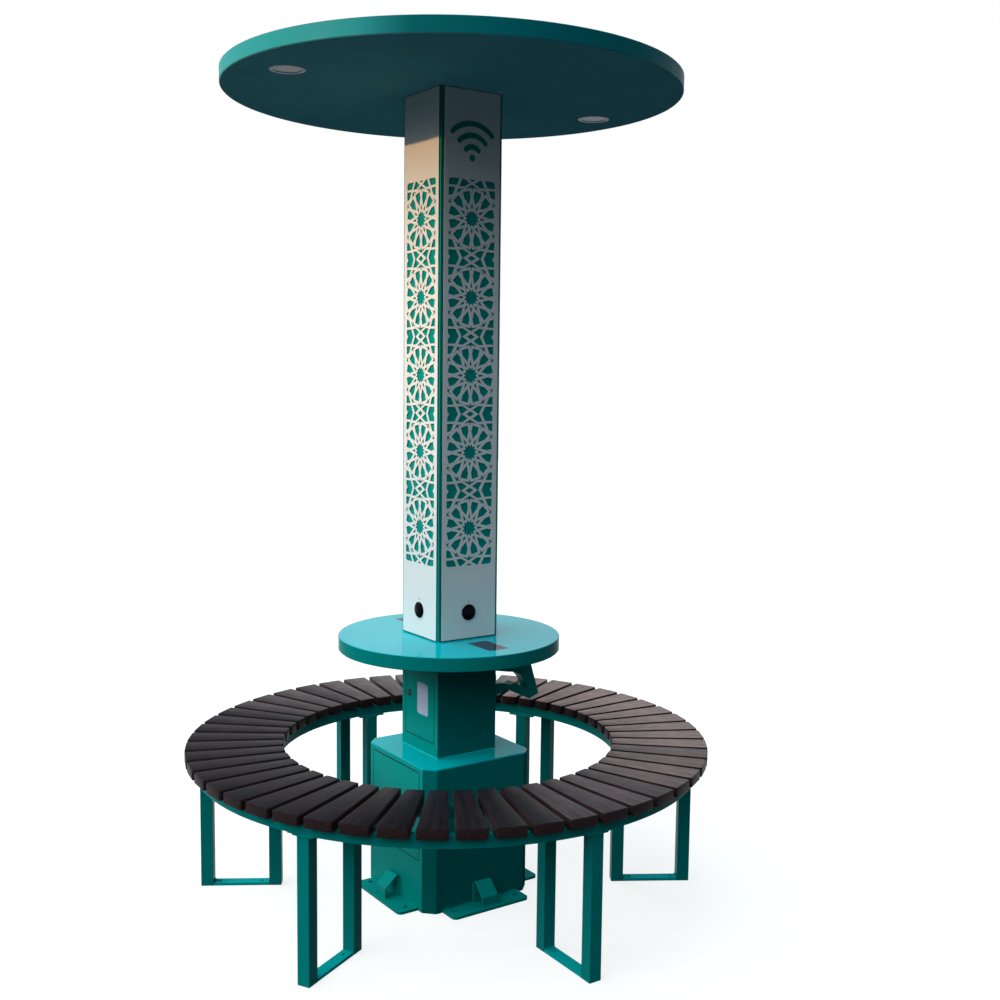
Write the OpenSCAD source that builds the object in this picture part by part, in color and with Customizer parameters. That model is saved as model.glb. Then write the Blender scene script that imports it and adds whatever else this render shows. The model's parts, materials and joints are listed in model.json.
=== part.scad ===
/* [Base cabinet] */
// Width of the base cabinet over its flat sides
cabinet_w = 360; // [340:5:400]
// Height of the base cabinet with its top plate
cabinet_h = 420; // [415:5:440]
// Leg of the flat cut on each upright corner
cabinet_cut = 30; // [15:5:40]
// Thickness of the cabinet, pedestal and door sheet
sheet = 3; // [2:0.5:4]
// Width of the cabinet's door opening
cabinet_door_w = 267; // [240:1:280]
// Height of the cabinet's door opening
cabinet_door_h = 258; // [240:1:260]
// Height of the middle of the cabinet's door
cabinet_door_z = 275; // [272:1:276]
// Length of each anchor plate along the wall
anchor_l = 258; // [250:1:280]
// Width of each anchor plate, out from the wall
anchor_w = 62; // [56:1:70]
// Thickness of each anchor plate
anchor_t = 8; // [6:1:12]
// Distance between the two holes of an anchor plate
anchor_pitch = 208; // [180:1:216]
// Distance of the anchor holes from the column's axis
anchor_hole_r = 205; // [202:1:210]
// Diameter of the anchor holes
anchor_hole_d = 14; // [10:1:18]
// Width of the bent strap on each anchor plate
strap_w = 54; // [40:2:60]

/* [Pedestal] */
// Width of the square pedestal and of the column's tube
column_w = 200; // [196:2:206]
// Height of the pedestal, from the cabinet up to the table
pedestal_h = 300; // [300:5:320]
// Width of the pedestal's door opening
pedestal_door_w = 162; // [156:1:166]
// Height of the pedestal's door opening
pedestal_door_h = 246; // [236:1:246]
// Height of the middle of the pedestal's door
pedestal_door_z = 581; // [580:1:582]
// Diameter of the lock on each door
lock_d = 22; // [18:1:24]
// Distance of each lock from the edge of its opening
lock_inset = 22; // [20:1:26]

/* [Table] */
// Radius of the round table
table_r = 325; // [315:5:340]
// Thickness of the table at its rim
table_t = 40; // [38:1:44]
// Width of each phone pad in the table
pad_w = 66; // [60:1:72]
// Length of each phone pad in the table
pad_l = 115; // [105:1:125]
// Distance of the middle of each phone pad from the axis
pad_y = 205; // [200:1:215]

/* [Column] */
// Height of the canopy's underside above the ground
canopy_z = 2300; // [2290:5:2330]
// Width of each facade panel
panel_w = 184; // [180:1:188]
// Thickness of each facade panel
panel_t = 3; // [2:0.5:4]
// Height of the charging sockets above the ground
socket_z = 839; // [825:1:850]
// Diameter of each charging socket's bezel
socket_d = 46; // [42:1:50]

/* [Facade pattern] */
// Distance between the middles of two stars
star_pitch = 217; // [216:0.5:218]
// Height of the middle star above the ground
star_z = 1516; // [1510:1:1520]
// Height of the dot of the wireless sign
sign_z = 2116; // [2112:1:2125]
// Thickness of the panel behind the pattern, between its holes
fret_t = 1.5; // [1:0.5:2]

/* [Canopy] */
// Radius of the round canopy
canopy_r = 645; // [635:5:660]
// Height of the canopy's rim
canopy_t = 42; // [42:1:48]
// Distance of each downlight from the axis
light_x = 508; // [480:5:520]
// Diameter of each downlight's bezel
light_d = 95; // [90:1:110]
// Side of each square solar module
module_w = 430; // [400:5:432]

/* [Bench] */
// Outer radius of the ring of slats
bench_r = 762; // [750:2:780]
// Inner radius of the ring of slats
bench_in_r = 485; // [480:1:490]
// Height of the seat above the ground
seat_z = 450; // [440:5:460]
// Thickness of the slats
slat_t = 28; // [25:1:32]
// Gap between two slats at the inner edge of the ring
slat_gap_in = 12; // [10:0.5:16]
// Gap between two slats at the outer edge of the ring
slat_gap_out = 16; // [10:0.5:20]
// Turn of the whole bench about the column
bench_turn = -1.5; // [-5:0.5:5]
// Side of the bench's square leg posts
post_w = 36; // [30:1:40]
// Radius of the outer face of the outer leg posts
post_out_r = 730; // [728:1:732]
// Radius of the outer face of the inner leg posts
post_in_r = 530; // [528:1:532]

/* [Hidden] */
$fn = 64;
SLATS = 50;
LEGS = 6;
teal = [0.0, 0.42, 0.39];
white = [0.86, 0.88, 0.88];
steel = [0.62, 0.63, 0.64];
black = [0.02, 0.02, 0.03];

// Heights that follow from the driving dimensions
top_plate_t = 5;
wall_h = cabinet_h - top_plate_t;
table_low = cabinet_h + pedestal_h;
table_z = table_low + table_t;
slat_low = seat_z - slat_t;
ring_h = 30;
ring_low = slat_low - ring_h;
leg_plate_t = 6;
post_h = ring_low - leg_plate_t;
foot_bar_t = 8;
foot_hole_r = 5;
foot_hole_in = 552;
foot_hole_out = 676;

// Doors: gap round the leaf, depth of the folded edge and place of the pivot behind the face
door_gap = 2.5;
door_fold = 10;
pivot_depth = 7;
pivot_inset = 8;
pivot_r = 3;
pivot_play = 0.05;
shoulder_play = 0.3;
lip_depth = 13.5;
barrel_r = 9;
barrel_depth = 17;
core_r = 6;
core_play = 0.05;
cam_t = 3;
cam_gap = 0.5;
cam_l = 34;
cam_w = 16;
window_w = 60;
window_h = 94;
window_y = -15;
window_z = -3;
window_corner = 8;
strap_t = 5;

// Table, column and canopy sheet
table_top_t = 6;
table_rim_t = 4;
under_t = 3;
tube_t = 4;
flange_t = 8;
edge_cut = 2;
pan_t = 3;
rim_t = 4;
deck_t = 3;
deck_z = canopy_z + canopy_t - 9;
rib_low = canopy_z + pan_t;
hub_w = 240;
hub_t = 10;
conduit_r = 16;
cable_hole_r = 50;
conduit_low = 690;
half = column_w / 2;
half_cab = cabinet_w / 2;
panel_low = table_z + 4;
panel_high = canopy_z - 2;
led_r = 1.8;
led_z = socket_z + 32;
socket_barrel_r = 20;
pad_corner = 6;

// Facade window and its star holes, each measured from the middle of a star
window_x = 77;
star_tip = 24.8;
star_valley = 17.2;
petal_tip = 38.3;
petal_waist = 60;
petal_end = 77;

function polar(r, a) = [r * sin(a), r * cos(a)];
function turned(points, a) =
    [for (p = points) [p[0] * cos(a) + p[1] * sin(a), p[1] * cos(a) - p[0] * sin(a)]];
function mirrored(points, sx, sz) = [for (p = points) [sx * p[0], sz * p[1]]];
function kept_in(points, x) = [for (p = points) [max(-x, min(x, p[0])), p[1]]];
function arc(r, from, to, n) = [for (i = [0:n]) polar(r, from + (to - from) * i / n)];
function step(from, to, i, n) = from + (to - from) * i / n;
function bend(mid, r, from, to, n) =
    [for (i = [0:n]) mid + r * [cos(step(from, to, i, n)), sin(step(from, to, i, n))]];

// Square outline with its four corners cut off at 45 degrees
module cut_square(w, c) {
    h = w / 2;
    polygon([[h, -h + c], [h, h - c], [h - c, h], [-h + c, h],
             [-h, h - c], [-h, -h + c], [-h + c, -h], [h - c, -h]]);
}

module rounded(w, h, r) {
    square([w - 2 * r, h], center = true);
    square([w, h - 2 * r], center = true);
    for (sx = [-1, 1], sy = [-1, 1]) translate([sx * (w / 2 - r), sy * (h / 2 - r)]) circle(r);
}

module box_at(low, high) {
    translate(low) cube(high - low);
}

// Flat plate in the plane of a door or facade: drawn in Y and Z, with its thickness running along +X
module upright(t) {
    rotate([90, 0, 90]) linear_extrude(t) children();
}

module four_sides() {
    for (a = [0:90:270]) rotate(a) children();
}

// Places each door's local frame: the middle of its opening, on the outer face of the wall
module at_cabinet_door() {
    translate([-half_cab, 0, cabinet_door_z]) children();
}

module at_pedestal_door() {
    translate([-half, 0, pedestal_door_z]) children();
}

// Folded lip inside the lock side of an opening, which the lock's cam turns behind
module strike_lip(w, h) {
    box_at([sheet, w / 2, -h / 2], [sheet + lip_depth, w / 2 + sheet, h / 2]);
}

// Leaf of a door: a sheet with folded edges, bored at top and bottom for the pivots
module door_leaf(w, h) {
    lw = w / 2 - door_gap;
    lh = h / 2 - door_gap;
    difference() {
        box_at([0, -lw, -lh], [sheet + door_fold, lw, lh]);
        box_at([sheet, -lw + sheet, -lh + sheet], [sheet + door_fold + 1, lw - sheet, lh - sheet]);
        translate([pivot_depth, -lw + pivot_inset, -h]) cylinder(r = pivot_r + pivot_play, h = 2 * h);
        translate([-1, w / 2 - lock_inset, 0]) rotate([0, 90, 0]) cylinder(r = barrel_r, h = sheet + 2);
    }
}

// Pivot pins of a door, with the tabs that hold them behind the wall above and below the opening.
// The lower pin has a shoulder that carries the leaf.
module door_pivots(w, h) {
    y = -w / 2 + door_gap + pivot_inset;
    pin_l = 3 * sheet;
    for (s = [-1, 1]) {
        translate([0, 0, s * h / 2]) mirror([0, 0, s < 0 ? 1 : 0]) {
            box_at([sheet, y - 10, 0], [sheet + 16, y + 14, sheet]);
            translate([pivot_depth, y, -pin_l]) cylinder(r = pivot_r, h = pin_l);
        }
    }
    translate([pivot_depth, y, -h / 2]) cylinder(r = pivot_r + 2, h = door_gap - shoulder_play);
}

// Lock housing: a round head on the face of the door and a barrel behind it
module lock_body(w) {
    translate([0, w / 2 - lock_inset, 0]) rotate([0, 90, 0]) difference() {
        union() {
            translate([0, 0, -2]) cylinder(d = lock_d, h = 2);
            cylinder(r = barrel_r, h = barrel_depth);
            translate([0, 0, sheet]) cylinder(r = 13, h = 5, $fn = 6);
        }
        translate([0, 0, -3]) cylinder(r = core_r + core_play, h = barrel_depth + 6);
    }
}

// Lock core with its key slot and the cam on its inner end, hanging down when unlocked
module lock_cam(w) {
    cam_x = barrel_depth + cam_gap;
    translate([0, w / 2 - lock_inset, 0]) {
        difference() {
            translate([-2.5, 0, 0]) rotate([0, 90, 0]) cylinder(r = core_r, h = cam_x + 2.5);
            box_at([-3, -0.6, -3.5], [-0.5, 0.6, 3.5]);
        }
        translate([cam_x, 0, 0]) upright(cam_t) union() {
            circle(d = cam_w);
            translate([-cam_w / 2, -cam_l]) square([cam_w, cam_l]);
        }
    }
}

module cabinet_shell() color(teal) {
    inner_cut = cabinet_cut - sheet * (2 - sqrt(2));
    difference() {
        linear_extrude(wall_h) difference() {
            cut_square(cabinet_w, cabinet_cut);
            cut_square(cabinet_w - 2 * sheet, inner_cut);
        }
        at_cabinet_door() box_at([-1, -cabinet_door_w / 2, -cabinet_door_h / 2],
                                 [sheet + 1, cabinet_door_w / 2, cabinet_door_h / 2]);
    }
    at_cabinet_door() strike_lip(cabinet_door_w, cabinet_door_h);
}

module cabinet_top_plate() color(teal) {
    translate([0, 0, wall_h]) linear_extrude(top_plate_t) difference() {
        cut_square(cabinet_w, cabinet_cut);
        circle(cable_hole_r);
    }
}

module cabinet_door() color(teal) at_cabinet_door() door_leaf(cabinet_door_w, cabinet_door_h);

module cabinet_door_pivots() color(steel) at_cabinet_door() door_pivots(cabinet_door_w, cabinet_door_h);

module cabinet_lock_body() color(steel) at_cabinet_door() lock_body(cabinet_door_w);

module cabinet_lock_cam() color(steel) at_cabinet_door() lock_cam(cabinet_door_w);

// Shelf that carries the battery, cut to the inside of the cabinet
shelf_z = 100;
battery_size = [172, 330, 215];
battery_x = 26;

module battery_shelf() color(steel) {
    translate([0, 0, shelf_z]) linear_extrude(sheet)
        cut_square(cabinet_w - 2 * sheet, cabinet_cut - sheet * (2 - sqrt(2)));
}

module battery() color([0.12, 0.12, 0.13]) translate([battery_x, 0, shelf_z + sheet]) {
    linear_extrude(battery_size[2]) rounded(battery_size[0], battery_size[1], 6);
    for (y = [-120, 120]) translate([-50, y, battery_size[2] - 1]) cylinder(r = 8, h = 13);
}

// Strap over the battery, with two rods down to the shelf
module battery_clamp() color(steel) translate([battery_x, 0, shelf_z + sheet]) {
    reach = battery_size[0] / 2 + 14;
    box_at([-reach, -15, battery_size[2]], [reach, 15, battery_size[2] + 3]);
    for (s = [-1, 1]) translate([s * (reach - 7), 0, 0]) {
        cylinder(r = 4, h = battery_size[2] + 14);
        translate([0, 0, battery_size[2] + 3]) cylinder(r = 8, h = 7, $fn = 6);
    }
}

module anchor_plate() {
    corner = 14;
    difference() {
        linear_extrude(anchor_t) {
            translate([half_cab, -anchor_l / 2]) square([anchor_w - corner, anchor_l]);
            translate([half_cab, -anchor_l / 2 + corner]) square([anchor_w, anchor_l - 2 * corner]);
            for (s = [-1, 1])
                translate([half_cab + anchor_w - corner, s * (anchor_l / 2 - corner)]) circle(corner);
        }
        for (s = [-1, 1]) translate([anchor_hole_r, s * anchor_pitch / 2, -1])
            cylinder(d = anchor_hole_d, h = anchor_t + 2);
    }
}

module anchor_plates() color(teal) four_sides() anchor_plate();

// Flat bar bent into a loop: up from the plate, in to the wall at a slant, over a round brow and down
// the wall
module anchor_strap() {
    out = half_cab + 50;
    knee = anchor_t + 28;
    brow_r = 9;
    brow = [half_cab + brow_r, 62];
    outer = concat([[half_cab, anchor_t]], bend(brow, brow_r, 180, 45, 9), [[out, knee], [out, anchor_t]]);
    inner = concat([[half_cab + strap_t, anchor_t - 1]], bend(brow, brow_r - strap_t, 180, 45, 9),
                   [[out - strap_t, knee - 2], [out - strap_t, anchor_t - 1]]);
    translate([0, strap_w / 2, 0]) rotate([90, 0, 0]) linear_extrude(strap_w) difference() {
        polygon(outer);
        polygon(inner);
    }
}

module anchor_straps() color(teal) four_sides() anchor_strap();

module pedestal_shell() color(teal) {
    difference() {
        translate([0, 0, cabinet_h]) linear_extrude(pedestal_h) difference() {
            square(column_w, center = true);
            square(column_w - 2 * sheet, center = true);
        }
        at_pedestal_door() box_at([-1, -pedestal_door_w / 2, -pedestal_door_h / 2],
                                  [sheet + 1, pedestal_door_w / 2, pedestal_door_h / 2]);
    }
    at_pedestal_door() strike_lip(pedestal_door_w, pedestal_door_h);
}

module window_outline() translate([window_y, window_z]) rounded(window_w, window_h, window_corner);

module pedestal_door() color(teal) at_pedestal_door() difference() {
    door_leaf(pedestal_door_w, pedestal_door_h);
    translate([-1, 0, 0]) upright(sheet + 2) window_outline();
}

module pedestal_window() color([0.72, 0.74, 0.85])
    at_pedestal_door() translate([0.5, 0, 0]) upright(sheet - 0.5) window_outline();

module pedestal_door_pivots() color(steel)
    at_pedestal_door() door_pivots(pedestal_door_w, pedestal_door_h);

module pedestal_lock_body() color(steel) at_pedestal_door() lock_body(pedestal_door_w);

module pedestal_lock_cam() color(steel) at_pedestal_door() lock_cam(pedestal_door_w);

// Plate inside the pedestal's back wall, which carries the electronics
plate_x = 80;
plate_low = 450;
plate_high = 690;

module equipment_plate() color(steel) {
    box_at([plate_x, -75, plate_low], [plate_x + 2, 75, plate_high]);
    for (y = [-60, 60], z = [plate_low + 20, plate_high - 20])
        translate([plate_x + 2, y, z]) rotate([0, 90, 0]) cylinder(r = 4, h = half - sheet - plate_x - 2);
}

module charge_controller() color([0.15, 0.17, 0.2]) {
    box_at([48, -60, 590], [plate_x, 60, 680]);
    for (i = [-5:5]) box_at([42, i * 10 - 1.5, 605], [48, i * 10 + 1.5, 680]);
}

module dc_converter() color([0.7, 0.7, 0.72]) box_at([50, -65, 520], [plate_x, -5, 575]);

module fuse_block() color([0.85, 0.85, 0.82])
    for (i = [0:3]) box_at([45, 5 + i * 15, 520], [plate_x, 19.5 + i * 15, 575]);

module wireless_router() color([0.9, 0.9, 0.9]) {
    box_at([55, -55, 455], [plate_x, 55, 500]);
    for (y = [-40, 40]) translate([66, y, 500]) cylinder(r = 4, h = 18);
}

// Table: top sheet and rim in one, cut for the pads and the cables
module pad_outline(extra) rounded(pad_w + 2 * extra, pad_l + 2 * extra, pad_corner + extra);

module table_top() color(teal) difference() {
    translate([0, 0, table_low]) rotate_extrude($fn = 96) polygon([
        [0, table_t], [table_r - edge_cut, table_t], [table_r, table_t - edge_cut],
        [table_r, edge_cut], [table_r - edge_cut, 0], [table_r - table_rim_t, 0],
        [table_r - table_rim_t, table_t - table_top_t], [0, table_t - table_top_t]]);
    translate([0, 0, table_low]) cylinder(r = cable_hole_r, h = table_t + 1);
    for (s = [-1, 1]) translate([0, s * pad_y, table_low]) linear_extrude(table_t + 1) pad_outline(0);
    at_column_bolts() translate([0, 0, table_low]) cylinder(r = bolt_hole_r, h = table_t + 1);
}

module table_underplate() color(teal) translate([0, 0, table_low]) difference() {
    cylinder(r = table_r - table_rim_t, h = under_t);
    translate([0, 0, -1]) cylinder(r = cable_hole_r, h = under_t + 2);
}

module table_core() color(steel)
    translate([0, 0, table_low + under_t]) linear_extrude(table_t - under_t - table_top_t) difference() {
        square(190, center = true);
        square(180, center = true);
    }

glass_t = 4;

module pad_glasses() color([0.05, 0.06, 0.08])
    for (s = [-1, 1]) translate([0, s * pad_y, table_z - glass_t]) linear_extrude(glass_t) pad_outline(0);

module pad_modules() color(black) for (s = [-1, 1]) translate([0, s * pad_y, 0]) {
    translate([0, 0, table_z - table_top_t - 12]) linear_extrude(12) pad_outline(7);
    translate([0, 0, table_z - table_top_t]) linear_extrude(table_top_t - glass_t) pad_outline(-2);
}

// Stay under the table: a bar that leans out below the table, an arm from its foot back to the pedestal,
// and an arch above the arm
module table_stay() color(teal) {
    stay_w = 42;
    mid = [205, 552];
    arch_in = 67.5;
    arch_out = 89.5;
    arm = [[half, 538], [170, 556], [201, 566], [281, 526], [317, 538]];
    arm_top = [[half - 1, 594], [188, 587], [213, 579], [229, 583], [268, 563], [276.4, 549]];
    translate([0, stay_w / 2, 0]) rotate([90, 0, 0]) linear_extrude(stay_w) difference() {
        polygon(concat(arm, [[260, table_low], [227, table_low]],
                       bend(mid, arch_out, 53.5, 90, 6), [[half, 662]]));
        polygon(concat(arm_top, bend(mid, arch_in, 16, 90, 6), [[half - 1, 640]]));
    }
}

module column_tube() color(teal) difference() {
    translate([0, 0, table_z]) linear_extrude(canopy_z - table_z) difference() {
        square(column_w, center = true);
        square(column_w - 2 * tube_t, center = true);
    }
    four_sides() {
        translate([half - 10, 0, socket_z]) rotate([0, 90, 0]) cylinder(r = socket_barrel_r, h = 20);
        translate([half - 10, 0, led_z]) rotate([0, 90, 0]) cylinder(r = led_r, h = 20);
    }
}

bolt_x = 70;
bolt_r = 6;
bolt_hole_r = 6.5;

module at_column_bolts() {
    for (x = [-bolt_x, bolt_x], y = [-bolt_x, bolt_x]) translate([x, y, 0]) children();
}

module column_flange() difference() {
    inside = column_w - 2 * tube_t;
    linear_extrude(flange_t) square(inside, center = true);
    translate([0, 0, -1]) cylinder(r = conduit_r, h = flange_t + 2);
    at_column_bolts() translate([0, 0, -1]) cylinder(r = bolt_hole_r, h = flange_t + 2);
}

module column_flanges() color(steel) {
    translate([0, 0, table_z]) column_flange();
    translate([0, 0, canopy_z - flange_t]) column_flange();
}

// Bolt through a grip from z = 0 up, with its head under the grip and its nut on top
module bolt(grip) {
    translate([0, 0, -7]) cylinder(r = 10, h = 7, $fn = 6);
    translate([0, 0, -1]) cylinder(r = bolt_r, h = grip + 16);
    translate([0, 0, grip]) cylinder(r = 10, h = 10, $fn = 6);
}

module column_bolts() color(steel) at_column_bolts() {
    translate([0, 0, table_z - table_top_t]) bolt(table_top_t + flange_t);
    translate([0, 0, canopy_z - flange_t]) bolt(flange_t + pan_t + hub_t);
}

module cable_conduit() color([0.3, 0.3, 0.32]) translate([0, 0, conduit_low]) difference() {
    cylinder(r = conduit_r, h = canopy_z + 10 - conduit_low);
    translate([0, 0, -1]) cylinder(r = conduit_r - 2, h = canopy_z + 12 - conduit_low);
}

// Outlines of the holes round one star
function star_hole() = [for (i = [0:23]) polar(i % 2 == 0 ? star_valley : star_tip, i * 15)];
function petal_hole() = [polar(petal_tip, 0), polar(petal_waist, 10.9), polar(petal_end, 8.7),
                         polar(petal_end, -8.7), polar(petal_waist, -10.9)];
function dart_hole() = [[0, 45], [3.9, 31.5], [1.5, 26.8], [-1.5, 26.8], [-3.9, 31.5]];
function arrow_hole(tip, x, z, low) = [[0, tip], [x, z], [3.3, 84.6], [0, low], [-3.3, 84.6], [-x, z]];
function corner_hole() = [[window_x, 58.5], [64, 61.5], [54.6, 81.1], [window_x, 81.9]];

// Outlines of the holes between two stars, measured from the point midway
field_z = 20.5;
function diamond_hole() = [[0, 8], [13.8, 0], [0, -8], [-13.8, 0]];
function bow_hole() = [[43, 21.8], [26.2, 22.6], [8, 12.2], [27.9, 0], [8, -12.2],
                       [26.2, -22.6], [43, -21.8], [31, 0]];
function side_hole() = [[window_x, field_z], [50.9, field_z], [40.4, 0], [50.9, -field_z],
                        [window_x, -field_z], [window_x, -8.5], [70.6, 0], [window_x, 8.5]];

// The same holes cut short at the window's top edge, measured in the same way
edge_z = -1.5;
function half_diamond() = [[-11, edge_z], [0, -8], [11, edge_z]];
function half_bow() = [[43, -21.8], [26.2, -22.6], [8, -12.2], [25.5, edge_z], [31.8, edge_z]];
function half_side() = concat([[window_x, -field_z], [50.9, -field_z], [41.2, edge_z]],
    bend([window_x - 8, edge_z - 8], 8, 90, 0, 3));

function round_star() = concat(
    [star_hole()],
    [for (i = [0:11]) turned(petal_hole(), 15 + 30 * i)],
    [for (i = [0:11]) turned(dart_hole(), 30 * i)],
    [for (i = [0, 6]) turned(arrow_hole(93.3, 22.5, 80.9, 74.5), 30 * i)],
    [for (i = [0:11]) if (i % 3 != 0) kept_in(turned(arrow_hole(91.5, 16, 81.5, 75.5), 30 * i), window_x)],
    [for (sx = [-1, 1], sz = [-1, 1]) mirrored(corner_hole(), sx, sz)]);

function between_stars() = concat([diamond_hole()],
    [for (sx = [-1, 1]) mirrored(bow_hole(), sx, 1)],
    [for (sx = [-1, 1]) mirrored(side_hole(), sx, 1)]);

function at_window_end(sz) = concat([mirrored(half_diamond(), 1, sz)],
    [for (sx = [-1, 1]) mirrored(half_bow(), sx, sz)],
    [for (sx = [-1, 1]) mirrored(half_side(), sx, sz)]);

// Cuts a list of outlines through a panel that lies in the YZ plane, centred at height z
module cut_holes(outlines, z) {
    for (o = outlines) translate([-1, 0, z]) upright(panel_t + 2) polygon(o);
}

// Wireless sign: a dot under three arcs with round ends
function round_end(r, w, a, from) = [for (i = [1:5]) polar(r, a) + polar(w / 2, from + i * 30)];
function arc_band(r, w, a) = concat(arc(r + w / 2, -a, a, 12), round_end(r, w, a, a),
                                    arc(r - w / 2, a, -a, 12), round_end(r, w, -a, 180 - a));

module sign_holes() {
    translate([-1, 0, sign_z]) upright(panel_t + 2) circle(10);
    for (r = [30, 61, 93]) translate([-1, 0, sign_z]) upright(panel_t + 2) polygon(arc_band(r, 16, 45));
}

// One facade panel, on the +X face of the column, with a shallow recess behind its pattern
module facade(with_sign) color(white) translate([half, 0, 0]) difference() {
    recess_y = window_x + 5;
    recess_z = 2.5 * star_pitch + 4;
    box_at([0, -panel_w / 2, panel_low], [panel_t, panel_w / 2, panel_high]);
    box_at([-1, -recess_y, star_z - recess_z], [panel_t - fret_t, recess_y, star_z + recess_z]);
    for (i = [-2:2]) cut_holes(round_star(), star_z + i * star_pitch);
    for (i = [-1.5:1.5]) cut_holes(between_stars(), star_z + i * star_pitch);
    cut_holes(at_window_end(1), star_z + 2.5 * star_pitch);
    cut_holes(at_window_end(-1), star_z - 2.5 * star_pitch);
    translate([-1, 0, socket_z]) rotate([0, 90, 0]) cylinder(d = socket_d, h = panel_t + 2);
    translate([-1, 0, led_z]) rotate([0, 90, 0]) cylinder(r = led_r, h = panel_t + 2);
    if (with_sign) sign_holes();
}

module facade_front() rotate(-90) facade(true);

module facade_back() rotate(90) facade(true);

module facade_left() rotate(180) facade(false);

module facade_right() facade(false);

// Charging socket, seen from the outer face of its panel: a bezel and barrel that hold the port block,
// with two ears above for the pin of the flip cap
port_r = 17;
bezel_t = 1.5;
pin_out = 4;
pin_up = 19.5;
pin_r = 1;
ear_y = 5;
ear_w = 3;
ear_r = 2.4;
cap_r = 21;
cap_back = bezel_t + 0.3;
cap_edge = 2.4;
cap_rise = 4;

module at_socket() {
    translate([half + panel_t, 0, socket_z]) rotate([0, 90, 0]) children();
}

// Stands a shape across the socket, along the pin's line
module along_pin(y0, l, r) {
    translate([-pin_up, y0, pin_out]) rotate([-90, 0, 0]) cylinder(r = r, h = l);
}

module socket_shell() at_socket() difference() {
    union() {
        translate([0, 0, -panel_t]) cylinder(d = socket_d, h = panel_t + bezel_t);
        translate([0, 0, -panel_t - 30]) cylinder(r = socket_barrel_r, h = 31);
        for (y = [-ear_y - ear_w, ear_y]) {
            along_pin(y, ear_w, ear_r);
            box_at([-pin_up - ear_r, y, 0], [-pin_up + ear_r, y + ear_w, pin_out]);
        }
    }
    translate([0, 0, -panel_t - 28]) cylinder(r = port_r, h = 40);
    along_pin(-ear_y - ear_w - 1, 2 * (ear_y + ear_w + 1), pin_r);
}

module socket_shells() color(black) four_sides() socket_shell();

module socket_cap_pins() color(steel)
    four_sides() at_socket() along_pin(-ear_y - ear_w, 2 * (ear_y + ear_w), pin_r);

module socket_port() at_socket() difference() {
    translate([0, 0, -panel_t - 28]) cylinder(r = port_r, h = panel_t + 28);
    for (x = [-7, 7]) box_at([x - 2.8, -6.5, -15], [x + 2.8, 6.5, 1]);
}

module socket_ports() color(black) four_sides() socket_port();

// Domed cap, notched for the ears, with a knuckle on the pin
module socket_cap() color(black) at_socket() difference() {
    dome_r = (cap_r * cap_r + cap_rise * cap_rise) / (2 * cap_rise);
    union() {
        translate([0, 0, cap_back]) difference() {
            rotate_extrude() polygon(concat([[0, 0], [cap_r, 0]], [for (i = [8:-1:0])
                [cap_r * i / 8, cap_edge + sqrt(dome_r * dome_r - pow(cap_r * i / 8, 2)) - dome_r + cap_rise]]));
            box_at([-cap_r - 1, -ear_y - ear_w - 1, -1], [-14, ear_y + ear_w + 1, 10]);
        }
        along_pin(-ear_y + 0.5, 2 * ear_y - 1, pin_r + 1.1);
        box_at([-pin_up, -ear_y + 0.5, cap_back + 0.2], [-13, ear_y - 0.5, pin_out + 1.1]);
    }
    along_pin(-ear_y - 1, 2 * ear_y + 2, pin_r + 0.05);
}

module socket_cap_front() rotate(-90) socket_cap();

module socket_cap_back() rotate(90) socket_cap();

module socket_cap_left() rotate(180) socket_cap();

module socket_cap_right() socket_cap();

module status_lamps() color([0.3, 0.35, 0.35]) four_sides()
    translate([half - tube_t, 0, led_z]) rotate([0, 90, 0]) cylinder(r = led_r, h = tube_t + panel_t + 0.5);

// Canopy: underside and rim in one, cut for the downlights and the cables
module canopy_pan() color(teal) difference() {
    translate([0, 0, canopy_z]) rotate_extrude($fn = 128) polygon([
        [0, 0], [canopy_r - edge_cut, 0], [canopy_r, edge_cut], [canopy_r, canopy_t - edge_cut],
        [canopy_r - edge_cut, canopy_t], [canopy_r - rim_t, canopy_t],
        [canopy_r - rim_t, pan_t], [0, pan_t]]);
    translate([0, 0, canopy_z - 1]) cylinder(r = cable_hole_r, h = pan_t + 2);
    for (s = [-1, 1]) translate([s * light_x, 0, canopy_z - 1]) cylinder(d = light_d - 7, h = pan_t + 2);
    at_column_bolts() translate([0, 0, canopy_z - 1]) cylinder(r = bolt_hole_r, h = pan_t + 2);
}

module canopy_hub() color(steel) translate([0, 0, rib_low]) difference() {
    linear_extrude(hub_t) square(hub_w, center = true);
    translate([0, 0, -1]) cylinder(r = cable_hole_r, h = hub_t + 2);
    at_column_bolts() translate([0, 0, -1]) cylinder(r = bolt_hole_r, h = hub_t + 2);
}

module canopy_ribs() color(steel) {
    rib_t = 4;
    rib_in = 176;
    for (a = [22.5:45:360]) rotate(a)
        box_at([rib_in, -rib_t / 2, rib_low], [canopy_r - rim_t - 3, rib_t / 2, deck_z]);
}

module canopy_deck() color(teal) translate([0, 0, deck_z]) cylinder(r = canopy_r - rim_t, h = deck_t);

trim_t = 5;
trim_w = 7;
module_mid = module_w / 2 + 6;

module at_modules() {
    for (sx = [-1, 1], sy = [-1, 1])
        translate([sx * module_mid, sy * module_mid, deck_z + deck_t]) children();
}

module solar_modules() color([0.04, 0.06, 0.14]) at_modules()
    linear_extrude(trim_t - 1) square(module_w - 2 * trim_w, center = true);

module module_trims() color(steel) at_modules() linear_extrude(trim_t) difference() {
    square(module_w, center = true);
    square(module_w - 2 * trim_w, center = true);
}

module junction_boxes() color(black)
    for (s = [-1, 1]) box_at([-55, s * 250 - 45, deck_z - 24], [55, s * 250 + 45, deck_z]);

module at_lights() {
    for (s = [-1, 1]) translate([s * light_x, 0, canopy_z]) children();
}

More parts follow.
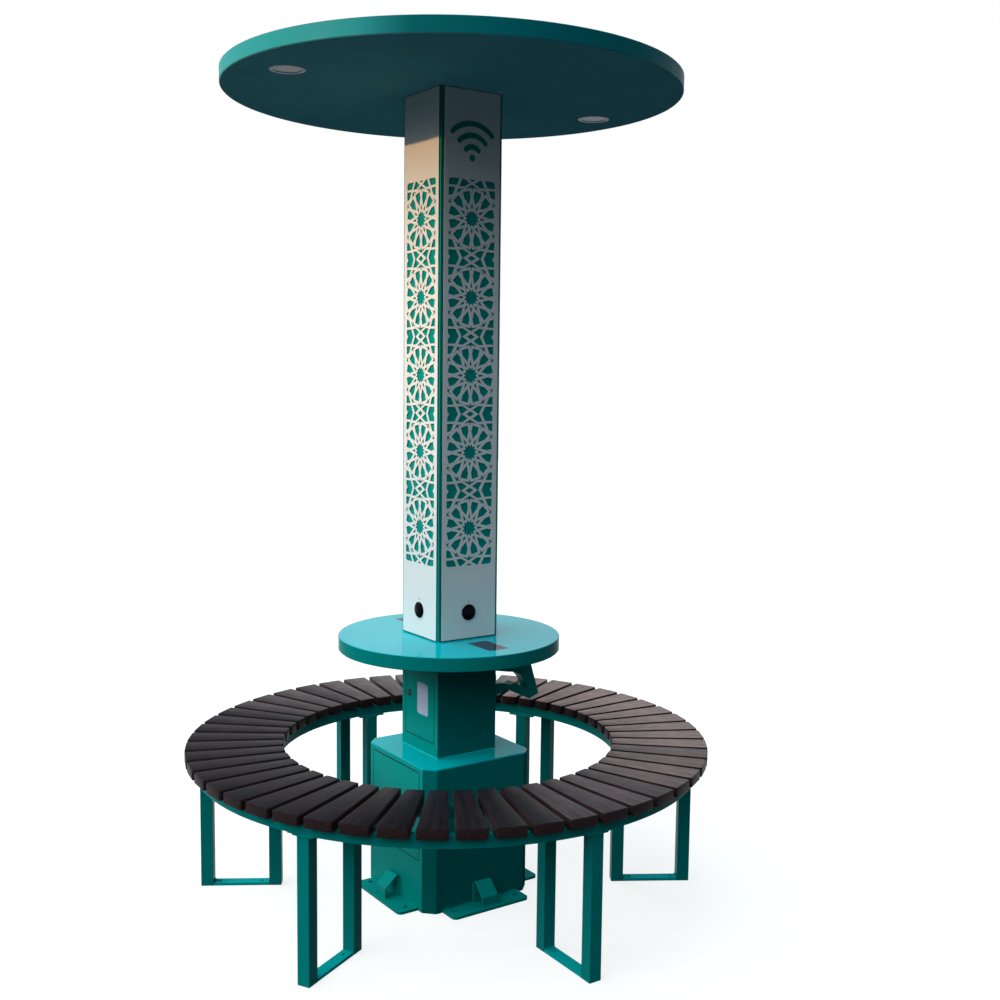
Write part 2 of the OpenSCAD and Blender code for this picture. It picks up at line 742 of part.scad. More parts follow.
module downlight_bezels() color([0.55, 0.62, 0.62]) at_lights() difference() {
    union() {
        translate([0, 0, -1.5]) cylinder(d = light_d, h = 1.5);
        cylinder(d = light_d - 7, h = 12);
    }
    translate([0, 0, -2]) cylinder(r = 37, h = 20);
}

module downlight_lenses() color([0.8, 0.82, 0.8]) at_lights() cylinder(r = 37, h = 3);

module downlight_bodies() color(steel) at_lights() translate([0, 0, 12]) cylinder(r = 40, h = 18);

// Bench: two rolled square tubes on six leg frames, under the ring of slats
module at_legs() {
    for (i = [0:LEGS - 1]) rotate(bench_turn - 150 + i * 360 / LEGS) children();
}

ring_tube_w = 30;
ring_wall = 2;
ring_out_r = post_out_r + 5;
ring_in_r = post_in_r - 3;
screw_r = 2;
screw_head_r = 4;
screw_head_h = 2.5;
screw_l = 20;
access_r = 5;

// Middle of each slat, and the two radii at which it is screwed down
slat_turn = 6;

module at_slats() {
    for (i = [0:SLATS - 1]) rotate(bench_turn + slat_turn + i * 360 / SLATS) children();
}

module at_screw(out_r) translate([out_r - ring_tube_w / 2, 0, 0]) children();

module seat_ring(out_r) difference() {
    translate([0, 0, ring_low]) rotate_extrude($fn = 128) difference() {
        translate([out_r - ring_tube_w, 0]) square([ring_tube_w, ring_h]);
        translate([out_r - ring_tube_w + ring_wall, ring_wall])
            square([ring_tube_w - 2 * ring_wall, ring_h - 2 * ring_wall]);
    }
    at_slats() at_screw(out_r) {
        translate([0, 0, ring_low - 1]) cylinder(r = access_r, h = ring_wall + 2);
        translate([0, 0, slat_low - ring_wall - 1]) cylinder(r = screw_r + 0.2, h = ring_wall + 2);
    }
}

module seat_rings() color(teal) {
    seat_ring(ring_out_r);
    seat_ring(ring_in_r);
}

module slat_screws() color(steel) at_slats() for (r = [ring_in_r, ring_out_r]) at_screw(r)
    translate([0, 0, slat_low - ring_wall]) {
        translate([0, 0, -screw_head_h]) cylinder(r = screw_head_r, h = screw_head_h);
        cylinder(r = screw_r, h = screw_l);
    }

module bench_posts() color(teal) at_legs() for (r = [post_in_r, post_out_r])
    translate([r - post_w, -post_w / 2, 0]) difference() {
        cube([post_w, post_w, post_h]);
        translate([2, 2, foot_bar_t]) cube([post_w - 4, post_w - 4, post_h]);
    }

module bench_foot_bars() color(teal) at_legs() difference() {
    box_at([post_in_r, -post_w / 2 + 1, 0], [post_out_r - post_w, post_w / 2 - 1, foot_bar_t]);
    for (r = [foot_hole_in, foot_hole_out])
        translate([r, 0, -1]) cylinder(r = foot_hole_r, h = foot_bar_t + 2);
}

module bench_leg_plates() color(teal) {
    w = 43;
    cut = 14;
    d = post_w + 4;
    at_legs() for (r = [post_in_r, post_out_r]) translate([r - post_w, 0, post_h])
        linear_extrude(leg_plate_t)
            polygon([[0, -w], [d - cut, -w], [d, -w + cut], [d, w - cut], [d - cut, w], [0, w]]);
}

// One slat along +X, bored from below: its long sides keep the two gaps to the next slat
function slat_side(r, gap) = r * tan(180 / SLATS) - gap / 2 / cos(180 / SLATS);

module slat() difference() {
    out_x = bench_r - 1;
    in_y = slat_side(bench_in_r, slat_gap_in);
    out_y = slat_side(out_x, slat_gap_out);
    translate([0, 0, slat_low]) linear_extrude(slat_t)
        polygon([[bench_in_r, -in_y], [out_x, -out_y], [out_x, out_y], [bench_in_r, in_y]]);
    for (r = [ring_in_r, ring_out_r]) at_screw(r)
        translate([0, 0, slat_low - 1]) cylinder(r = screw_r, h = screw_l - ring_wall + 1);
}

module bench_slats() color([0.2, 0.16, 0.16]) at_slats() slat();

cabinet_shell();
cabinet_top_plate();
cabinet_door();
cabinet_door_pivots();
cabinet_lock_body();
cabinet_lock_cam();
battery_shelf();
battery();
battery_clamp();
anchor_plates();
anchor_straps();
pedestal_shell();
pedestal_door();
pedestal_door_pivots();
pedestal_lock_body();
pedestal_lock_cam();
pedestal_window();
equipment_plate();
charge_controller();
dc_converter();
fuse_block();
wireless_router();
table_top();
table_underplate();
table_core();
pad_glasses();
pad_modules();
table_stay();
column_tube();
column_flanges();
column_bolts();
cable_conduit();
facade_front();
facade_back();
facade_left();
facade_right();
socket_shells();
socket_ports();
socket_cap_front();
socket_cap_back();
socket_cap_left();
socket_cap_right();
socket_cap_pins();
status_lamps();
canopy_pan();
canopy_hub();
canopy_ribs();
canopy_deck();
solar_modules();
module_trims();
junction_boxes();
downlight_bezels();
downlight_lenses();
downlight_bodies();
seat_rings();
bench_posts();
bench_foot_bars();
bench_leg_plates();
bench_slats();
slat_screws();
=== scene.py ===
import json
import math

import bmesh
import bpy
from mathutils import Matrix, Vector


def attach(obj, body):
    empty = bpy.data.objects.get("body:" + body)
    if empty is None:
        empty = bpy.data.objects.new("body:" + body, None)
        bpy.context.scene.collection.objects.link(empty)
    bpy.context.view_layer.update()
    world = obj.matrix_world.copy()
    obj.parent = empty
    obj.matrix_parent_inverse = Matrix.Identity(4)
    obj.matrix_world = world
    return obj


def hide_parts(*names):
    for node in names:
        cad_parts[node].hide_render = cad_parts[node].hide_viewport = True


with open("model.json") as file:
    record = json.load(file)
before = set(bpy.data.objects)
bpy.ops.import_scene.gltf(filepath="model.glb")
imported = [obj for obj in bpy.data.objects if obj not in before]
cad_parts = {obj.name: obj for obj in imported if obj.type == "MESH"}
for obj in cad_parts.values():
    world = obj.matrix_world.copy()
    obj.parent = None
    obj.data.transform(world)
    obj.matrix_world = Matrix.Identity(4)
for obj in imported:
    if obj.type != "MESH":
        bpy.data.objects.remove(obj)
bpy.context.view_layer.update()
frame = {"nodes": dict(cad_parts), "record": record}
scene = bpy.context.scene
cad = frame["nodes"]
print("stage: frame loaded,", len(cad), "nodes")

# Camera, fitted to the edges of the canopy, table, bench and column in the photo

cameraLook = {
    "azimuth": -32.32,  # degrees from -Y towards -X
    "distance": 3.5601,  # level, from the column's axis
    "height": 1.5196,
    "yaw": 2.342,  # degrees past the axis
    "pitch": 5.843,  # degrees down
    "roll": 0.6585,
    "lens": 44.098,
    "sensor": 36,
    "farthest": 60,
}


def makeCamera(look):
    azimuth = math.radians(look["azimuth"])
    place = Vector((math.sin(azimuth), -math.cos(azimuth), 0)) * look["distance"]
    place.z = look["height"]
    heading = azimuth - math.radians(look["yaw"])
    level = Vector((-math.sin(heading), math.cos(heading), 0))
    side = Vector((math.cos(heading), math.sin(heading), 0))
    pitch = math.radians(look["pitch"])
    forward = level * math.cos(pitch) - Vector((0, 0, math.sin(pitch)))
    upright = level * math.sin(pitch) + Vector((0, 0, math.cos(pitch)))
    roll = math.radians(look["roll"])
    right = side * math.cos(roll) + upright * math.sin(roll)
    up = upright * math.cos(roll) - side * math.sin(roll)
    data = bpy.data.cameras.new("camera")
    data.lens = look["lens"]
    data.sensor_width = look["sensor"]
    data.clip_end = look["farthest"]
    camera = bpy.data.objects.new("camera", data)
    scene.collection.objects.link(camera)
    turn = Matrix((right, up, -forward)).transposed()
    camera.matrix_world = Matrix.Translation(place) @ turn.to_4x4()
    scene.camera = camera


makeCamera(cameraLook)
print("stage: camera")

# Nodes, for materials and geometry alike


def feed(tree, socket, value):  # value is another node's output, a colour or a plain value
    if isinstance(value, bpy.types.NodeSocket):
        tree.links.new(value, socket)
    elif socket.type == "RGBA":
        socket.default_value = (*value, 1)
    else:
        socket.default_value = value


def feedAll(tree, node, inputs):
    for key, value in inputs.items():
        feed(tree, node.inputs[key], value)


def addNode(tree, kind, inputs, **settings):
    node = tree.nodes.new(kind)
    for key, value in settings.items():
        setattr(node, key, value)
    feedAll(tree, node, inputs)
    return node


def mathNode(tree, operation, a, b):
    return addNode(tree, "ShaderNodeMath", {0: a, 1: b}, operation=operation).outputs[0]


def remap(tree, value, low, high, lowTo, highTo, curve="LINEAR"):
    span = {"Value": value, "From Min": low, "From Max": high, "To Min": lowTo, "To Max": highTo}
    return addNode(tree, "ShaderNodeMapRange", span, interpolation_type=curve).outputs["Result"]


def blend(tree, factor, first, second, kind="MIX"):
    mix = {"Factor": factor, "A": first, "B": second}
    return addNode(tree, "ShaderNodeMix", mix, data_type="RGBA", blend_type=kind).outputs["Result"]


def partOf(tree, vector, axis):
    return addNode(tree, "ShaderNodeSeparateXYZ", {0: vector}).outputs[axis]


def facing(tree, axis):  # how far the surface is turned along an axis, from -1 to 1
    return partOf(tree, tree.nodes.new("ShaderNodeNewGeometry").outputs["Normal"], axis)


# Room: an open sky that is brighter on the left, and a pale floor. Both show as white

roomLook = {
    "floorSize": 30.0,
    "floorShown": (0.3, 0.3, 0.3),
    "floorGlow": 0.78,
    "floorBounce": (0.038, 0.043, 0.048),
    "skyFront": (0.85, 1.2, 1.45),
    "skyLeft": (1.2, 1.3, 1.28),
    "frontRise": (0.1, 0.8),  # sine of the height at which the sky starts and ends to brighten
    "leftRise": (0.04, 0.5),
    "skyLowest": 0.01,  # light left at the horizon
    "brightSide": (-0.85, 0.53, 0),
    "sideSpan": (-0.45, 0.75),
    "sideLight": (0.24, 2.8),
    "skyShown": (1.0, 1.0, 1.0),
}


def seenDirectly(tree):
    path = tree.nodes.new("ShaderNodeLightPath")
    seen = mathNode(tree, "MAXIMUM", path.outputs["Is Camera Ray"], path.outputs["Is Glossy Ray"])
    return mathNode(tree, "MAXIMUM", seen, path.outputs["Is Transmission Ray"])


def showApart(tree, lighting, shown, outputKind):  # lighting falls on things, shown is what the eye meets
    shaders = {0: seenDirectly(tree), 1: lighting.outputs[0], 2: shown.outputs[0]}
    mix = addNode(tree, "ShaderNodeMixShader", shaders)
    addNode(tree, outputKind, {"Surface": mix.outputs[0]})


def makeSky(look):
    world = bpy.data.worlds.new("room")
    scene.world = world
    world.use_nodes = True
    tree = world.node_tree
    tree.nodes.clear()
    towards = tree.nodes.new("ShaderNodeTexCoord").outputs["Generated"]
    height = partOf(tree, towards, "Z")
    frontRise, leftRise = [remap(tree, height, *look[key], look["skyLowest"], 1.0, "SMOOTHSTEP")
                           for key in ("frontRise", "leftRise")]
    toSide = addNode(tree, "ShaderNodeVectorMath", {0: towards, 1: look["brightSide"]},
                     operation="DOT_PRODUCT")
    side = remap(tree, toSide.outputs["Value"], *look["sideSpan"], 0.0, 1.0)
    rise = remap(tree, side, 0.0, 1.0, frontRise, leftRise)
    level = remap(tree, side, 0.0, 1.0, *look["sideLight"])
    colour = blend(tree, side, look["skyFront"], look["skyLeft"])
    strength = mathNode(tree, "MULTIPLY", rise, level)
    light = addNode(tree, "ShaderNodeBackground", {"Color": colour, "Strength": strength})
    shown = addNode(tree, "ShaderNodeBackground", {"Color": look["skyShown"], "Strength": 1.0})
    showApart(tree, light, shown, "ShaderNodeOutputWorld")


def makeFloor(look):
    half = look["floorSize"] / 2
    corners = [(-half, -half, 0), (half, -half, 0), (half, half, 0), (-half, half, 0)]
    mesh = bpy.data.meshes.new("floor")
    mesh.from_pydata(corners, [], [(0, 1, 2, 3)])
    floor = bpy.data.objects.new("floor", mesh)
    scene.collection.objects.link(floor)
    material = bpy.data.materials.new("floor")
    material.use_nodes = True
    tree = material.node_tree
    tree.nodes.clear()
    pale = addNode(tree, "ShaderNodeBsdfDiffuse", {"Color": look["floorShown"]})
    glow = addNode(tree, "ShaderNodeEmission", {"Color": (1, 1, 1), "Strength": look["floorGlow"]})
    shown = addNode(tree, "ShaderNodeAddShader", {0: pale.outputs[0], 1: glow.outputs[0]})
    bounce = addNode(tree, "ShaderNodeBsdfDiffuse", {"Color": look["floorBounce"]})
    showApart(tree, bounce, shown, "ShaderNodeOutputMaterial")
    mesh.materials.append(material)


# Lamp: a low warm sun from the left, for the glow on the upper column

lampLook = {
    "from": (-7.0, 0.3, 3.92),
    "to": (0, 0, 2.12),
    "strength": 1250.0,
    "colour": (1.0, 0.58, 0.25),
    "size": 0.05,
    "beam": 19.0,  # degrees
}


def makeLamp(name, look):
    data = bpy.data.lights.new(name, "SPOT")
    data.energy = look["strength"]
    data.color = look["colour"]
    data.spot_size = math.radians(look["beam"])
    data.spot_blend = 1.0
    data.shadow_soft_size = look["size"]
    lamp = bpy.data.objects.new(name, data)
    scene.collection.objects.link(lamp)
    lamp.location = look["from"]
    aim = Vector(look["to"]) - Vector(look["from"])
    lamp.rotation_euler = aim.to_track_quat("-Z", "Y").to_euler()


makeSky(roomLook)
makeFloor(roomLook)
makeLamp("warmKey", lampLook)
scene.view_settings.view_transform = "Standard"
print("stage: room and lamp")

# Materials


def newMaterial(name, colour, roughness, metallic=0.0):
    material = bpy.data.materials.new(name)
    material.use_nodes = True
    tree = material.node_tree
    shader = tree.nodes["Principled BSDF"]
    feedAll(tree, shader, {"Base Color": colour, "Roughness": roughness, "Metallic": metallic})
    return material, tree, shader


def objectPlace(tree, stretch=(1, 1, 1)):
    place = tree.nodes.new("ShaderNodeTexCoord").outputs["Object"]
    return addNode(tree, "ShaderNodeMapping", {"Vector": place, "Scale": stretch}).outputs["Vector"]


def noiseOf(tree, place, scale, detail=3.0, roughness=0.55):
    noise = {"Vector": place, "Scale": scale, "Detail": detail, "Roughness": roughness}
    return addNode(tree, "ShaderNodeTexNoise", noise).outputs["Fac"]


def toneRamp(tree, value, stops):
    ramp = addNode(tree, "ShaderNodeValToRGB", {"Fac": value})
    elements = ramp.color_ramp.elements
    while len(elements) < len(stops):
        elements.new(0.5)
    for element, (at, colour) in zip(elements, stops):
        element.position = at
        element.color = (*colour, 1)
    return ramp.outputs["Color"]


noiseSpan = (0.3, 0.7)  # most of a noise lies between these


def shaded(colour, factor):
    return tuple(max(0.0, min(1.0, c * factor)) for c in colour)


def unevenTone(tree, noise, colour, shades, span=noiseSpan):
    return toneRamp(tree, noise, [(at, shaded(colour, shade)) for at, shade in zip(span, shades)])


def rough(tree, noise, look):
    middle, smear = look["roughness"], look["smear"]
    return remap(tree, noise, *noiseSpan, middle - smear, middle + smear)


def bumpFrom(tree, value, depth):
    return addNode(tree, "ShaderNodeBump", {"Height": value, "Distance": depth}).outputs["Normal"]


# Paint. Some pieces carry painted light and shade: a rim of darker painted shade, on the canopy with a pale
# painted reflection on the side turned towards -X, or a front darkened by painted shade


# painted shade: surfaces turned towards -Y get a darker colour and less shine
def paintedFrontShade(tree, shader, tone, look):
    front = remap(tree, facing(tree, "Y"), *look["frontShadeFrom"], 0.0, 1.0)
    shine = remap(tree, front, 0.0, 1.0, look["shine"], look["frontShadeShine"])
    feed(tree, shader.inputs["Specular IOR Level"], shine)
    return blend(tree, front, tone, look["frontShadeColour"])


# Painted light and shade by height: past the rimFrom heights the rim gets a darker colour of painted shade
# and its own shine. On the canopy the part of the rim turned towards -X gets a pale painted reflection
# instead
def rimLightAndShade(tree, shader, place, tone, look):
    height = partOf(tree, place, "Z")
    shine = remap(tree, height, *look["rimFrom"], look["shine"], look["rimShine"])
    feed(tree, shader.inputs["Specular IOR Level"], shine)
    rim = look["rimShadeColour"]
    if "rimReflectionColour" in look:
        rim = blend(tree, remap(tree, facing(tree, "X"), *look["rimReflectionFrom"], 0.0, 1.0), rim, look["rimReflectionColour"])
    return blend(tree, remap(tree, height, *look["rimFrom"], 0.0, 1.0), tone, rim)


def coatedMetal(name, look):
    material, tree, shader = newMaterial(name, look["colour"], look["roughness"])
    feed(tree, shader.inputs["Specular IOR Level"], look["shine"])
    place = objectPlace(tree)
    cloud = noiseOf(tree, place, look["cloudScale"])
    tone = unevenTone(tree, cloud, look["colour"], (1 - look["cloud"], 1 + look["cloud"]))
    # painted shade on the rim, and on the canopy a painted reflection
    if "rimShadeColour" in look:
        tone = rimLightAndShade(tree, shader, place, tone, look)
    # painted shade on the front of the cabinet and pedestal shells
    if "frontShadeColour" in look:
        tone = paintedFrontShade(tree, shader, tone, look)
    smear = noiseOf(tree, place, look["smearScale"], detail=5.0, roughness=0.6)
    peel = noiseOf(tree, place, look["peelScale"], detail=2.0, roughness=0.5)
    feedAll(tree, shader, {"Base Color": tone, "Roughness": rough(tree, smear, look),
                           "Normal": bumpFrom(tree, peel, look["peelDepth"])})
    return material


tealLook = {
    "colour": (0.0, 0.265, 0.235),
    "roughness": 0.3,
    "cloud": 0.04,
    "cloudScale": 6.0,
    "smear": 0.05,
    "smearScale": 9.0,
    "peelScale": 420.0,
    "peelDepth": 0.00006,
    "shine": 0.015,
}
# table: a paler, bluer teal on the top as painted light from the sky, and a rim of darker painted shade
tableLightAndShadeLook = dict(tealLook, colour=(0.0, 0.4, 0.46), roughness=0.08, smear=0.015, shine=0.05, peelDepth=0.0,
                 rimShadeColour=(0.0, 0.2, 0.185), rimFrom=(0.7596, 0.7584), rimShine=0.004)
# cabinet top plate and fillets: a paler teal as painted light, on the fillets a painted highlight
trayLitLook = dict(tealLook, colour=(0.0, 0.4, 0.43), roughness=0.12, smear=0.02, shine=0.028, peelDepth=0.0)
# foot bars: a paler teal as painted reflection of the sky on their tops
footBarLitLook = dict(tealLook, colour=(0.0, 0.36, 0.36), shine=0.004)
# bench posts and seat rings: a darker teal as painted shade
postShadedLook = dict(tealLook, colour=(0.0, 0.2, 0.19))
# cabinet and pedestal shells: teal with a front darkened by painted shade
boxShadedFrontLook = dict(tealLook, frontShadeColour=(0.0, 0.15, 0.145), frontShadeShine=0.0, frontShadeFrom=(-0.5, -0.68))
# canopy: a paler teal as painted light on the underside; its rim has darker painted shade and a pale painted
# reflection towards -X
canopyLightAndShadeLook = dict(tealLook, colour=(0.14, 0.46, 0.52), roughness=0.45, shine=0.0, peelDepth=0.0,
                  rimShadeColour=(0.0, 0.13, 0.155), rimFrom=(2.3004, 2.3016), rimShine=0.03,
                  rimReflectionColour=(0.02, 0.28, 0.31), rimReflectionFrom=(-0.66, -0.8))
facadeLook = {
    "colour": (0.74, 0.75, 0.75),
    "roughness": 0.42,
    "cloud": 0.025,
    "cloudScale": 3.5,
    "smear": 0.06,
    "smearScale": 12.0,
    "peelScale": 900.0,
    "peelDepth": 0.00005,
    "shine": 0.08,
}

# Bare metal, moulded plastic and glass


def plainMetal(name, look):
    material, tree, shader = newMaterial(name, look["colour"], look["roughness"], metallic=1.0)
    brush = noiseOf(tree, objectPlace(tree, look["stretch"]), look["brushScale"], detail=4.0, roughness=0.6)
    tone = unevenTone(tree, brush, look["colour"], look["shades"], look["shadeSpan"])
    middle = look["roughness"]
    dullness = remap(tree, brush, *noiseSpan, middle - look["polish"], middle + look["dull"])
    feedAll(tree, shader, {"Base Color": tone, "Roughness": dullness,
                           "Normal": bumpFrom(tree, brush, look["depth"])})
    return material


zincLook = {
    "colour": (0.55, 0.57, 0.58),
    "roughness": 0.38,
    "polish": 0.06,
    "dull": 0.08,
    "shades": (0.82, 1.1),
    "shadeSpan": (0.25, 0.75),
    "stretch": (1, 1, 1),
    "brushScale": 60.0,
    "depth": 0.00004,
}
chromeLook = dict(zincLook, colour=(0.07, 0.08, 0.09), roughness=0.28, stretch=(1, 8, 1), brushScale=180.0,
                  depth=0.00001)
frameLook = dict(zincLook, colour=(0.7, 0.72, 0.74), roughness=0.3, stretch=(6, 6, 1), brushScale=90.0,
                 depth=0.00002)
bezelLook = dict(zincLook, colour=(0.06, 0.066, 0.085), roughness=0.55, brushScale=120.0, depth=0.00002)


def mouldedPlastic(name, look):
    material, tree, shader = newMaterial(name, look["colour"], look["roughness"])
    grain = noiseOf(tree, objectPlace(tree), look["grainScale"], detail=3.0, roughness=0.6)
    feedAll(tree, shader, {"Base Color": unevenTone(tree, grain, look["colour"], look["shades"]),
                           "Roughness": rough(tree, grain, look), "Specular IOR Level": look["shine"],
                           "Normal": bumpFrom(tree, grain, look["depth"])})
    return material


caseLook = {
    "colour": (0.018, 0.019, 0.021),
    "roughness": 0.5,
    "smear": 0.08,
    "shades": (0.88, 1.12),
    "grainScale": 500.0,
    "depth": 0.00008,
    "shine": 0.3,
}
glossBlackLook = dict(caseLook, colour=(0.002, 0.002, 0.005), roughness=0.22, smear=0.04, grainScale=90.0,
                      depth=0.00001, shine=0.03)
mattBlackLook = dict(caseLook, colour=(0.006, 0.006, 0.007), roughness=0.6, smear=0.06, grainScale=700.0,
                     depth=0.00006, shine=0.08)
paleLook = dict(caseLook, colour=(0.7, 0.7, 0.67), roughness=0.45, smear=0.05, grainScale=400.0,
                depth=0.00004)
conduitLook = dict(caseLook, colour=(0.13, 0.135, 0.14), smear=0.05, grainScale=150.0, depth=0.00004)

windowLook = {
    "low": (0.5, 0.55, 0.72),
    "high": (0.24, 0.28, 0.36),
    "heights": (0.531, 0.625),
    "darkensFrom": 0.75,  # part of the height
    "roughness": 0.25,
    "rippleScale": 35.0,
    "rippleDepth": 0.0001,
}


def windowFilm(name, look):
    material, tree, shader = newMaterial(name, look["low"], look["roughness"])
    place = objectPlace(tree)
    height = remap(tree, partOf(tree, place, "Z"), *look["heights"], 0.0, 1.0)
    stops = [(0.0, look["low"]), (look["darkensFrom"], look["low"]), (1.0, look["high"])]
    ripple = noiseOf(tree, place, look["rippleScale"], detail=2.0)
    feedAll(tree, shader, {"Base Color": toneRamp(tree, height, stops),
                           "Normal": bumpFrom(tree, ripple, look["rippleDepth"])})
    return material


padLook = {
    "colour": (0.01, 0.026, 0.045),
    "shades": (0.8, 1.3),
    "roughness": 0.08,
    "smear": 0.04,
    "hazeScale": 20.0,
    "shine": 0.05,
}


def darkGlass(name, look):
    material, tree, shader = newMaterial(name, look["colour"], look["roughness"])
    haze = noiseOf(tree, objectPlace(tree), look["hazeScale"], detail=4.0)
    feedAll(tree, shader, {"Base Color": unevenTone(tree, haze, look["colour"], look["shades"]),
                           "Roughness": rough(tree, haze, look), "Specular IOR Level": look["shine"]})
    return material


lensLook = {
    "colour": (0.09, 0.1, 0.14),
    "shades": (0.93, 1.05),
    "roughness": 0.35,
    "frostScale": 260.0,
    "frostDepth": 0.00004,
    "shine": 0.1,
}


def frostedLens(name, look):
    material, tree, shader = newMaterial(name, look["colour"], look["roughness"])
    frost = noiseOf(tree, objectPlace(tree), look["frostScale"], detail=2.0)
    feedAll(tree, shader, {"Base Color": unevenTone(tree, frost, look["colour"], look["shades"]),
                           "Specular IOR Level": look["shine"],
                           "Normal": bumpFrom(tree, frost, look["frostDepth"])})
    return material


# Slat composite: grain runs along each slat. Its top has a bluish painted sky reflection, and painted light
# that grows towards one side of the ring, mixed with the slat's own random tone

slatFinishLook = {
    "colour": (0.026, 0.022, 0.0235),
    "darkFibre": 0.55,
    "paleFibre": (0.052, 0.044, 0.044),
    "fibreSpan": (0.25, 0.5, 0.8),
    "topFrom": (0.5, 0.9),
    "topReflectionTint": (0.85, 0.88, 1.0),
    "sideTint": (0.8, 0.5, 0.5),
    "clouds": [(0.3, (0.75, 0.75, 0.75)), (0.7, (1.2, 1.15, 1.1))],
    # painted light and shade: multipliers on the top colour, darker on the shaded side of the ring and much
    # paler on the lit side
    "paintedLightTones": [(0.0, (0.38, 0.34, 0.4)), (0.25, (0.56, 0.52, 0.58)), (0.6, (3.9, 3.4, 3.0)),
                 (1.0, (10.0, 7.9, 6.1))],
    "roughness": 0.42,
    "smear": 0.08,
    "stretch": (0.05, 1.0, 1.0),
    "fibreScale": 130.0,
    "blotchScale": 14.0,
    "grainDepth": 0.0008,
    "shine": 0.035,
}


def slatFinish(name, look):
    material, tree, shader = newMaterial(name, look["colour"], look["roughness"])
    grain = addNode(tree, "ShaderNodeAttribute", {}, attribute_name="grain").outputs["Vector"]
    # the slat's painted light, with its random tone
    slatTone = addNode(tree, "ShaderNodeAttribute", {}, attribute_name="slatTone").outputs["Fac"]
    stretched = addNode(tree, "ShaderNodeMapping", {"Vector": grain, "Scale": look["stretch"]})
    fibre = noiseOf(tree, stretched.outputs["Vector"], look["fibreScale"], detail=6.0, roughness=0.7)
    blotch = noiseOf(tree, grain, look["blotchScale"], detail=3.0, roughness=0.5)
    fibreTones = (shaded(look["colour"], look["darkFibre"]), look["colour"], look["paleFibre"])
    base = toneRamp(tree, fibre, list(zip(look["fibreSpan"], fibreTones)))
    sides = blend(tree, 1.0, base, look["sideTint"], "MULTIPLY")
    # painted reflection: the tops are tinted slate blue for the sky's reflection
    tops = blend(tree, 1.0, base, look["topReflectionTint"], "MULTIPLY")
    # the tops take the blotches, then painted light by the slat's place on the ring
    for value, stops in ((blotch, look["clouds"]), (slatTone, look["paintedLightTones"])):
        tops = blend(tree, 1.0, tops, toneRamp(tree, value, stops), "MULTIPLY")
    upwards = remap(tree, facing(tree, "Z"), *look["topFrom"], 0.0, 1.0)
    feedAll(tree, shader, {"Base Color": blend(tree, upwards, sides, tops),
                           "Roughness": rough(tree, fibre, look), "Specular IOR Level": look["shine"],
                           "Normal": bumpFrom(tree, fibre, look["grainDepth"])})
    return material


# Solar cells: square cells with pale gaps and fine fingers, the same in all four modules

solarLook = {
    "cell": (0.006, 0.012, 0.035),
    "shades": (0.7, 1.4),
    "roughness": 0.12,
    "edge": 0.013,
    "pitch": 0.104,
    "gap": 0.0012,
    "gapColour": (0.45, 0.47, 0.5),
    "fingers": 5,  # per cell
    "finger": 0.0003,
    "fingerLength": 4.0,  # past the end of a module
    "fingerColour": (0.3, 0.32, 0.35),
    "grainScale": 30.0,
    "shine": 0.1,
    "coat": 0.25,
    "coatRoughness": 0.03,
}


def gridLines(tree, place, wide, tall, line):
    grid = {"Vector": place, "Scale": 1.0, "Brick Width": wide, "Row Height": tall, "Mortar Size": line,
            "Mortar Smooth": 0.1}
    return addNode(tree, "ShaderNodeTexBrick", grid, offset=0.0, squash=1.0).outputs["Fac"]


def solarCell(name, look):
    material, tree, shader = newMaterial(name, look["cell"], look["roughness"])
    place = objectPlace(tree)
    folded = addNode(tree, "ShaderNodeVectorMath", {0: place}, operation="ABSOLUTE").outputs[0]
    edge = (look["edge"], look["edge"], 0)
    corner = addNode(tree, "ShaderNodeVectorMath", {0: folded, 1: edge}, operation="SUBTRACT").outputs[0]
    cells = gridLines(tree, corner, look["pitch"], look["pitch"], look["gap"])
    fingers = gridLines(tree, corner, look["pitch"] / look["fingers"], look["fingerLength"], look["finger"])
    grain = noiseOf(tree, place, look["grainScale"], detail=2.0)
    tone = unevenTone(tree, grain, look["cell"], look["shades"])
    tone = blend(tree, fingers, tone, look["fingerColour"])
    tone = blend(tree, cells, tone, look["gapColour"])
    feedAll(tree, shader, {"Base Color": tone, "Specular IOR Level": look["shine"],
                           "Coat Weight": look["coat"], "Coat Roughness": look["coatRoughness"]})
    return material


finishes = {
    "teal": coatedMetal("tealPaint", tealLook),
    "table": coatedMetal("tablePaintLitTop", tableLightAndShadeLook),
    "tray": coatedMetal("trayPaintLit", trayLitLook),
    "bar": coatedMetal("footBarPaintLit", footBarLitLook),
    "post": coatedMetal("postPaintShaded", postShadedLook),
    "box": coatedMetal("cabinetPaintShadedFront", boxShadedFrontLook),
    "canopy": coatedMetal("canopyPaintLightAndShade", canopyLightAndShadeLook),
    "facade": coatedMetal("facadePaint", facadeLook),
    "zinc": plainMetal("zincSteel", zincLook),
    "chrome": plainMetal("lockChrome", chromeLook),
    "aluminium": plainMetal("frameAluminium", frameLook),
    "bezel": plainMetal("lampBezel", bezelLook),
    "glossBlack": mouldedPlastic("glossBlack", glossBlackLook),
    "mattBlack": mouldedPlastic("mattBlack", mattBlackLook),
    "case": mouldedPlastic("batteryCase", caseLook),
    "pale": mouldedPlastic("palePlastic", paleLook),
    "conduit": mouldedPlastic("conduitPlastic", conduitLook),
    "window": windowFilm("windowFilm", windowLook),
    "pad": darkGlass("padGlass", padLook),
    "lens": frostedLens("lampLens", lensLook),
    "slat": slatFinish("slatComposite", slatFinishLook),
    "solar": solarCell("solarCell", solarLook),
}
